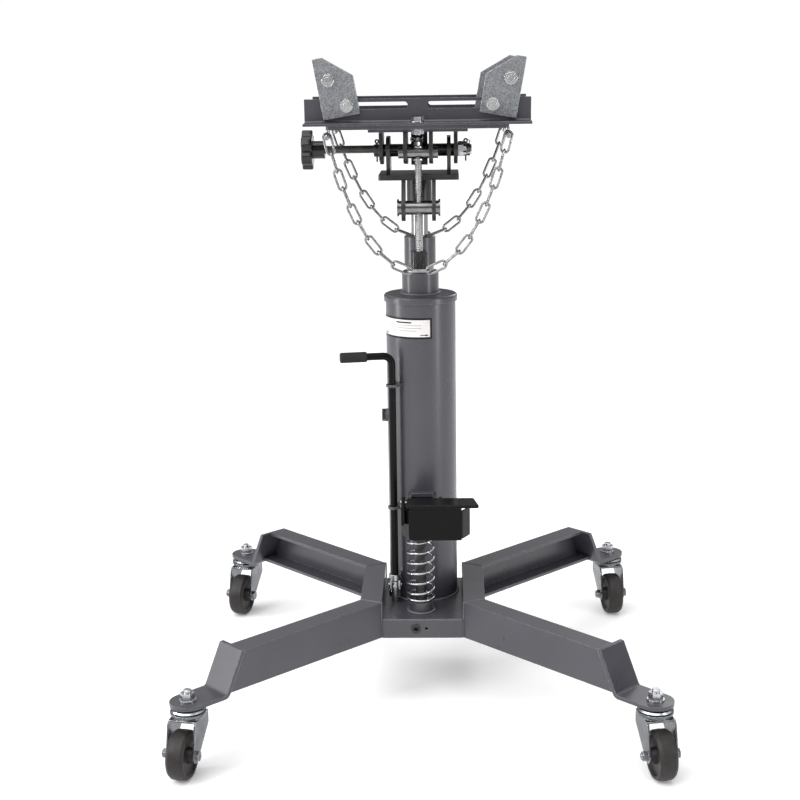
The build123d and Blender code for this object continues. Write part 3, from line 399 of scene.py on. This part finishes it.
# split pin through a bolt: an eye at one end, two legs bent apart at the other
def splitPin(name, centre, along, across, reach, body):
    centre, along, across = Vector(centre), Vector(along), Vector(across)
    wire, eyeRadius = pinStyle["wire"], pinStyle["eye"]
    eyeCentre = centre - along * (reach + pinStyle["neck"])
    eye = []
    for i in range(17):
        t = pinStyle["opening"] + i * (2 * math.pi - 2 * pinStyle["opening"]) / 16
        eye.append(eyeCentre + along * eyeRadius * math.cos(t) + across * eyeRadius * math.sin(t))
    legs = []
    for sign in (-1, 1):
        start = centre + across * wire * sign * 0.9
        bend = start + along * (reach + 0.0012) + across * sign * 0.0012
        tip = start + along * (reach + 0.001) + across * sign * pinStyle["splay"]
        corners = [start - along * reach, start + along * reach, bend, tip]
        legs.append(tube(spanned(corners, 0.0012), wire, sides=8))
    pin = meshObject(name, *joined(tube(eye, wire, sides=8), *legs), "zinc", body)
    return pin


splitPin("tilt_screw_split_pin", (midX, midY, seat + 0.013), (1, 0, 0), (0, 0, 1), 0.0066, "tilt_screw_set")

# clamp screw: threaded bar through the head, split pin at its free end
clampScrew = dict(pitch=0.00175, depth=0.0011, radius=0.0065)
low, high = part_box("lock_screw")
nutLow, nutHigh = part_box("lock_nut")
clampY, clampZ = (nutLow[1] + nutHigh[1]) / 2, (nutLow[2] + nutHigh[2]) / 2
axis = placed(0, clampY, clampZ, "X")
rod = threadedRod(axis, low[0], high[0], clampScrew["radius"], clampScrew["pitch"], clampScrew["depth"])
bar = meshObject("clamp_screw_thread", *rod, "thread_steel", "clamp_screw_set")
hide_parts("lock_screw")
splitPin("clamp_screw_split_pin", (high[0] - 0.005, clampY, clampZ), (0, 0, -1), (1, 0, 0), 0.0072,
         "clamp_screw_set")
print("screws built")

# return spring: round wire, closed end turns
spring = dict(wire=0.0038, turns=9, closed=1.0, pressed=0.936)
low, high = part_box("return_spring")
centre = Vector(((low[0] + high[0]) / 2, (low[1] + high[1]) / 2, 0))
coilRadius = (high[0] - low[0]) / 2 - spring["wire"] / 2
bottom, top = low[2] + spring["wire"] / 2, high[2] - spring["wire"] / 2
path = []
count = int(spring["turns"] * 40)
for i in range(count + 1):
    turn = spring["turns"] * i / count
    rest = min(1.0, max(0.0, (turn - spring["closed"]) / (spring["turns"] - 2 * spring["closed"])))
    endLift = spring["wire"] * (min(turn, 1.0) + max(0.0, turn - spring["turns"] + 1.0))
    z = bottom + endLift + (top - bottom - 2 * spring["wire"]) * rest
    a = 2 * math.pi * turn + 0.9
    path.append(centre + Vector((coilRadius * math.cos(a), coilRadius * math.sin(a), z)))
coil = meshObject("return_spring_coil", *tube(path, spring["wire"] / 2, sides=12), "zinc", "base")
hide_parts("return_spring")
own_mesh(coil)
print("spring built")


# weld beads, a wandering ripple of metal along each joint
beadStyle = dict(radius=0.0021, step=0.0013, ripple=0.16)


def ringPath(x, y, z, radius):
    parts = int(radius * 2 * math.pi / beadStyle["step"])
    path = []
    for i in range(parts):
        a = 2 * math.pi * i / parts
        path.append(Vector((x + radius * math.cos(a), y + radius * math.sin(a), z)))
    return path


def bead(name, paths, body, radius=beadStyle["radius"]):
    shapes = []
    for path, closed in paths:
        wander = [p + Vector((noise.noise(p * 90), noise.noise(p * 90 + Vector((7, 0, 0))), 0)) * 0.0004
                  for p in path]
        shapes.append(tube(wander, radius, closed, 9, beadStyle["ripple"]))
    # the beads take the lighter copy of the grey paint, a painted highlight
    piece = meshObject(name, *joined(*shapes), "weld_bead", body)


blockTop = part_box("base_block")[1][2]
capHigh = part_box("reservoir_cap")[1]
barrelLow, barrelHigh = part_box("pump_barrel")
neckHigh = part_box("gland_neck")[1]
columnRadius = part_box("reservoir_tube")[1][1]
barrelX = (barrelLow[0] + barrelHigh[0]) / 2
barrelY = (barrelLow[1] + barrelHigh[1]) / 2
barrelRadius = (barrelHigh[0] - barrelLow[0]) / 2
bead("column_weld", [(ringPath(0, 0, blockTop + 0.0008, columnRadius + 0.0008), True)], "base")
bead("pump_barrel_weld", [(ringPath(barrelX, barrelY, blockTop + 0.001, barrelRadius + 0.001), True)], "base")
bead("gland_weld", [(ringPath(0, 0, capHigh[2] + 0.0008, neckHigh[0] + 0.0008), True)], "base")
legLow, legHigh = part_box("leg_channels_left")
blockLow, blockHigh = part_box("base_block")
cornerX = blockHigh[0]
# the legs meet on a mitre at each corner of the block
mitre = dict(halfAngle=22.5, halfSpan=0.098, flange=0.034, bead=0.0012)
mitreSlope = math.tan(math.radians(mitre["halfAngle"]))
legPaths = []
middleY = (legLow[1] + legHigh[1]) / 2
for sx in (-1, 1):
    for sy in (-1, 1):
        y0 = middleY + sy * mitre["halfSpan"]
        inner = (sx * (cornerX + mitre["flange"]), y0 - sy * mitre["flange"] * mitreSlope, legHigh[2])
        outer = (sx * cornerX, y0, legHigh[2])
        foot = (sx * cornerX, y0, legLow[2] + 0.001)
        legPaths.append((spanned([inner, outer, foot], beadStyle["step"]), False))
bead("leg_mitre_welds", legPaths, "base", radius=mitre["bead"])
sidePaths = []
for sx in (-1, 1):
    front = (sx * cornerX, blockLow[1] + 0.004, blockTop)
    back = (sx * cornerX, blockHigh[1] - 0.003, blockTop)
    sidePaths.append((spanned([front, back], beadStyle["step"]), False))
bead("block_side_welds", sidePaths, "base", radius=0.0018)
print("weld beads built")


# plain instruction plate on the column, with no lettering
label = dict(left=-100, right=19, low=0.5905, high=0.6245, border=0.0032, lift=0.0003)
labelColours = {
    "label_black": dict(colour=(0.006, 0.006, 0.006), second=(0.01, 0.01, 0.01), rough=(0.3, 0.4),
                        bump=0.04, edge=0.0001, shine=0.2),
    "label_white": dict(colour=(0.74, 0.71, 0.7), second=(0.66, 0.62, 0.62), rough=(0.3, 0.42),
                        cloudScale=40, bump=0.04, edge=0.0001),
    "label_grey": dict(colour=(0.25, 0.23, 0.23), second=(0.3, 0.28, 0.28), rough=(0.3, 0.42),
                       bump=0.04, edge=0.0001),
}
for name, look in labelColours.items():
    materials[name] = surface(name, look)


# point on the column, u the arc length from the front towards +X
def onColumn(u, z, lift):
    a = u / columnRadius
    return Vector(((columnRadius + lift) * math.sin(a), -(columnRadius + lift) * math.cos(a), z))


def labelPatch(u0, u1, z0, z1, lift, colourIndex, outline=None):
    columns = max(2, int((u1 - u0) / 0.002))
    points, faces = [], []
    for i in range(2):
        for j in range(columns + 1):
            f = j / columns
            bottomZ, topZ = outline(f) if outline else (0.0, 1.0)
            v = topZ if i else bottomZ
            points.append(onColumn(u0 + (u1 - u0) * f, z0 + (z1 - z0) * v, lift))
    for j in range(columns):
        faces.append((j, j + 1, columns + 2 + j, columns + 1 + j))
    return points, faces, [colourIndex] * len(faces)


def arrowShape(towardsRight):
    def outline(f):
        f = f if towardsRight else 1 - f
        half = 0.16 if f < 0.55 else 0.5 * (1 - f) / 0.45
        return 0.5 - half, 0.5 + half
    return outline


u0, u1 = (columnRadius * math.radians(label[k]) for k in ("left", "right"))
border = label["border"]
zLow, zHigh = label["low"], label["high"]
patches = [labelPatch(u0, u1, zLow, zHigh, label["lift"], 0),
           labelPatch(u0 + border, u1 - border, zLow + border, zHigh - border, label["lift"] + 0.00012, 1)]
middleU = (u0 + u1) / 2
for k, (half, depth) in enumerate(((0.014, 0.0022), (0.030, 0.0008), (0.030, 0.0008), (0.022, 0.0008))):
    z = zHigh - 0.0075 - k * 0.0045
    patches.append(labelPatch(middleU + 0.012 - half, middleU + 0.012 + half, z - depth / 2, z + depth / 2,
                              label["lift"] + 0.00022, 2 if k else 0))
for right in (False, True):
    centreU = u1 - 0.012 if right else middleU - 0.030
    patches.append(labelPatch(centreU - 0.007, centreU + 0.007, zLow + 0.0042, zLow + 0.0082,
                              label["lift"] + 0.00022, 0, arrowShape(right)))
points, faces, faceLooks = [], [], []
for patchPoints, patchFaces, patchLooks in patches:
    start = len(points)
    points += patchPoints
    faces += [tuple(i + start for i in face) for face in patchFaces]
    faceLooks += patchLooks
plate = meshObject("column_label", points, faces, None, "base", True, list(labelColours), faceLooks)
print("label built")


# floor, lights and camera
floorMesh = bpy.data.meshes.new("studio_floor")
reach = 30.0
floorMesh.from_pydata([(-reach, -reach, 0), (reach, -reach, 0), (reach, reach, 0), (-reach, reach, 0)], [],
                      [(0, 1, 2, 3)])
floor = bpy.data.objects.new("studio_floor", floorMesh)
bpy.context.collection.objects.link(floor)
floorPale = surface("floor_pale", dict(colour=(0.92, 0.92, 0.92), second=(0.93, 0.93, 0.93), cloudScale=3,
                                       rough=(0.6, 0.7), bump=0.0, shine=0.0))
floorShader = floorPale.node_tree.nodes["Principled BSDF"]
floorShader.inputs["Emission Color"].default_value = (1, 1, 1, 1)
floorShader.inputs["Emission Strength"].default_value = 0.14
floorMesh.materials.append(floorPale)
floor.location.z = -0.0002

world = bpy.data.worlds.new("studio_light")
bpy.context.scene.world = world
world.use_nodes = True
skyTree = world.node_tree
sky = skyTree.nodes["Background"]
direction = addNode(skyTree, "ShaderNodeSeparateXYZ")
skyTree.links.new(addNode(skyTree, "ShaderNodeTexCoord").outputs["Generated"], direction.inputs[0])
# white round the horizon, darker overhead
sky.inputs["Color"].default_value = (1, 1, 1, 1)
glow = spread(skyTree, direction.outputs["Z"], 0.14, 0.42, 0.58, 0.24)
mirrored = calculate(skyTree, "ADD", spread(skyTree, direction.outputs["Z"], 0.25, 0.45, 0.08, 0.9),
                     spread(skyTree, direction.outputs["Z"], 0.7, 0.9, 0.0, -0.75))
rays = addNode(skyTree, "ShaderNodeLightPath")
choice = addNode(skyTree, "ShaderNodeMix", data_type="FLOAT")
feed(skyTree, choice.inputs[0], rays.outputs["Is Glossy Ray"])
feed(skyTree, choice.inputs[2], glow)
feed(skyTree, choice.inputs[3], mirrored)
backdrop = addNode(skyTree, "ShaderNodeMix", data_type="FLOAT")
feed(skyTree, backdrop.inputs[0], rays.outputs["Is Camera Ray"])
feed(skyTree, backdrop.inputs[2], choice.outputs[0])
feed(skyTree, backdrop.inputs[3], 1.02)
skyTree.links.new(backdrop.outputs[0], sky.inputs["Strength"])

sun = bpy.data.lights.new("overhead_sun", "SUN")
sun.energy = 2.6
sun.angle = math.radians(70)
sunHolder = bpy.data.objects.new("overhead_sun", sun)
bpy.context.collection.objects.link(sunHolder)
sunHolder.rotation_euler = (math.radians(16), math.radians(-14), 0)

lamps = [
    dict(name="key_light", at=(-2.4, -2.2, 2.2), aim=(0, 0, 0.6), size=(0.9, 2.0), power=30),
    dict(name="left_strip", at=(-2.6, -0.5, 1.1), aim=(0, 0, 0.6), size=(0.3, 2.2), power=34),
    dict(name="right_strip", at=(2.3, -1.5, 1.1), aim=(0, 0, 0.6), size=(0.22, 2.2), power=22),
    dict(name="back_light", at=(1.6, 2.8, 1.9), aim=(0, 0, 0.7), size=(1.6, 1.2), power=20),
]
for lamp in lamps:
    data = bpy.data.lights.new(lamp["name"], "AREA")
    data.shape = "RECTANGLE"
    data.size, data.size_y = lamp["size"]
    data.energy = lamp["power"]
    holder = bpy.data.objects.new(lamp["name"], data)
    bpy.context.collection.objects.link(holder)
    holder.location = lamp["at"]
    holder.rotation_euler = (Vector(lamp["aim"]) - Vector(lamp["at"])).to_track_quat("-Z", "Y").to_euler()

view = dict(at=(0.04426, -2.43548, 1.0375), heading=0.033, pitch=0.226, roll=-0.015, lens=67.62)
cameraData = bpy.data.cameras.new("main_camera")
cameraData.sensor_width = 36
cameraData.lens = view["lens"]
camera = bpy.data.objects.new("main_camera", cameraData)
bpy.context.collection.objects.link(camera)
camera.matrix_world = (Matrix.Translation(view["at"]) @ Matrix.Rotation(view["heading"], 4, "Z")
                       @ Matrix.Rotation(math.pi / 2 - view["pitch"], 4, "X")
                       @ Matrix.Rotation(view["roll"], 4, "Z"))
bpy.context.scene.camera = camera
bpy.context.scene.view_settings.view_transform = "Standard"
print("stage, lights and camera set")
